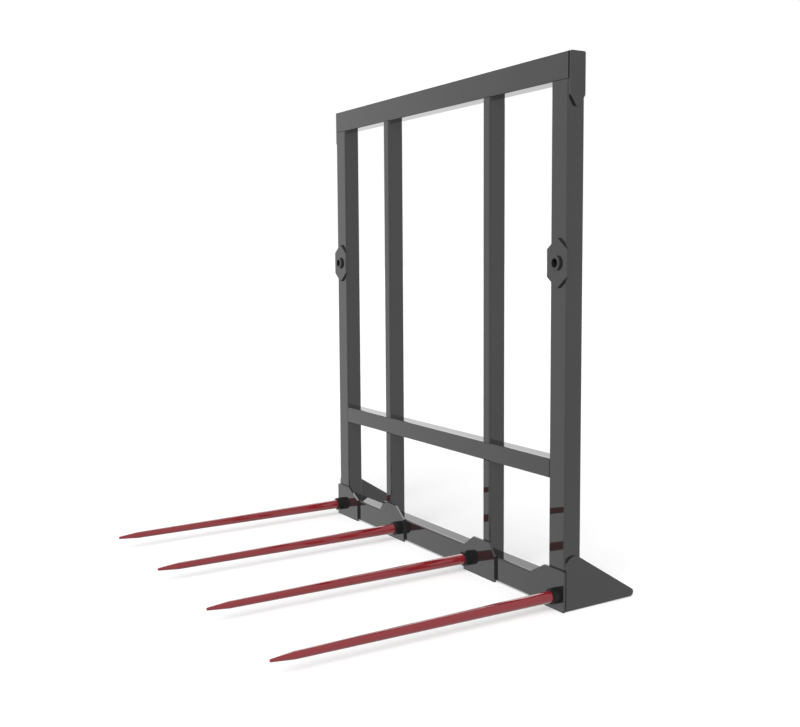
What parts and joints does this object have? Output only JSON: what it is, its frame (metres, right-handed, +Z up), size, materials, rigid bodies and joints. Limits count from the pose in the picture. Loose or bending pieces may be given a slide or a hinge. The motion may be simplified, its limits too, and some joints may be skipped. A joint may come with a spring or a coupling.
{
  "type": "bale spear",
  "caption": "Upright welded tube frame with tapered steel tines along its foot, carried on a loader to spear and lift large bales.",
  "frame": {"origin": "centre of the bottom rail's underside, half way along its length and half way through the tubes' depth; the tine plates reach 6 mm lower, to the ground", "axes": "+X to the object's right as seen from the tines' side, +Y to the rear (the loader's side), +Z up; the tines point along -Y"},
  "size_m": [2.022, 1.5009, 2.093],
  "materials": {
    "black_paint": "gloss",
    "red_paint": "gloss",
    "zinc_fasteners": "satin"
  },
  "bodies": {
    "root": {"bottom_rail": "black_paint", "cross_rail": "black_paint", "left_end_plate": "black_paint", "left_foot_plate": "black_paint", "left_inner_post_lower": "black_paint", "left_inner_post_upper": "black_paint", "left_inner_tine": "red_paint", "left_inner_tine_plate": "black_paint", "left_inner_tine_sleeve": "black_paint", "left_outer_post": "black_paint", "left_outer_tine": "red_paint", "left_outer_tine_plate": "black_paint", "left_outer_tine_sleeve": "black_paint", "left_socket_plate": "black_paint", "left_upper_sleeve": "black_paint", "right_end_plate": "black_paint", "right_foot_plate": "black_paint", "right_inner_post_lower": "black_paint", "right_inner_post_upper": "black_paint", "right_inner_tine": "red_paint", "right_inner_tine_plate": "black_paint", "right_inner_tine_sleeve": "black_paint", "right_outer_post": "black_paint", "right_outer_tine": "red_paint", "right_outer_tine_plate": "black_paint", "right_outer_tine_sleeve": "black_paint", "right_socket_plate": "black_paint", "right_upper_sleeve": "black_paint", "tine_nuts": "zinc_fasteners", "tine_washers": "zinc_fasteners", "top_rail": "black_paint"}
  },
  "joints": []
}
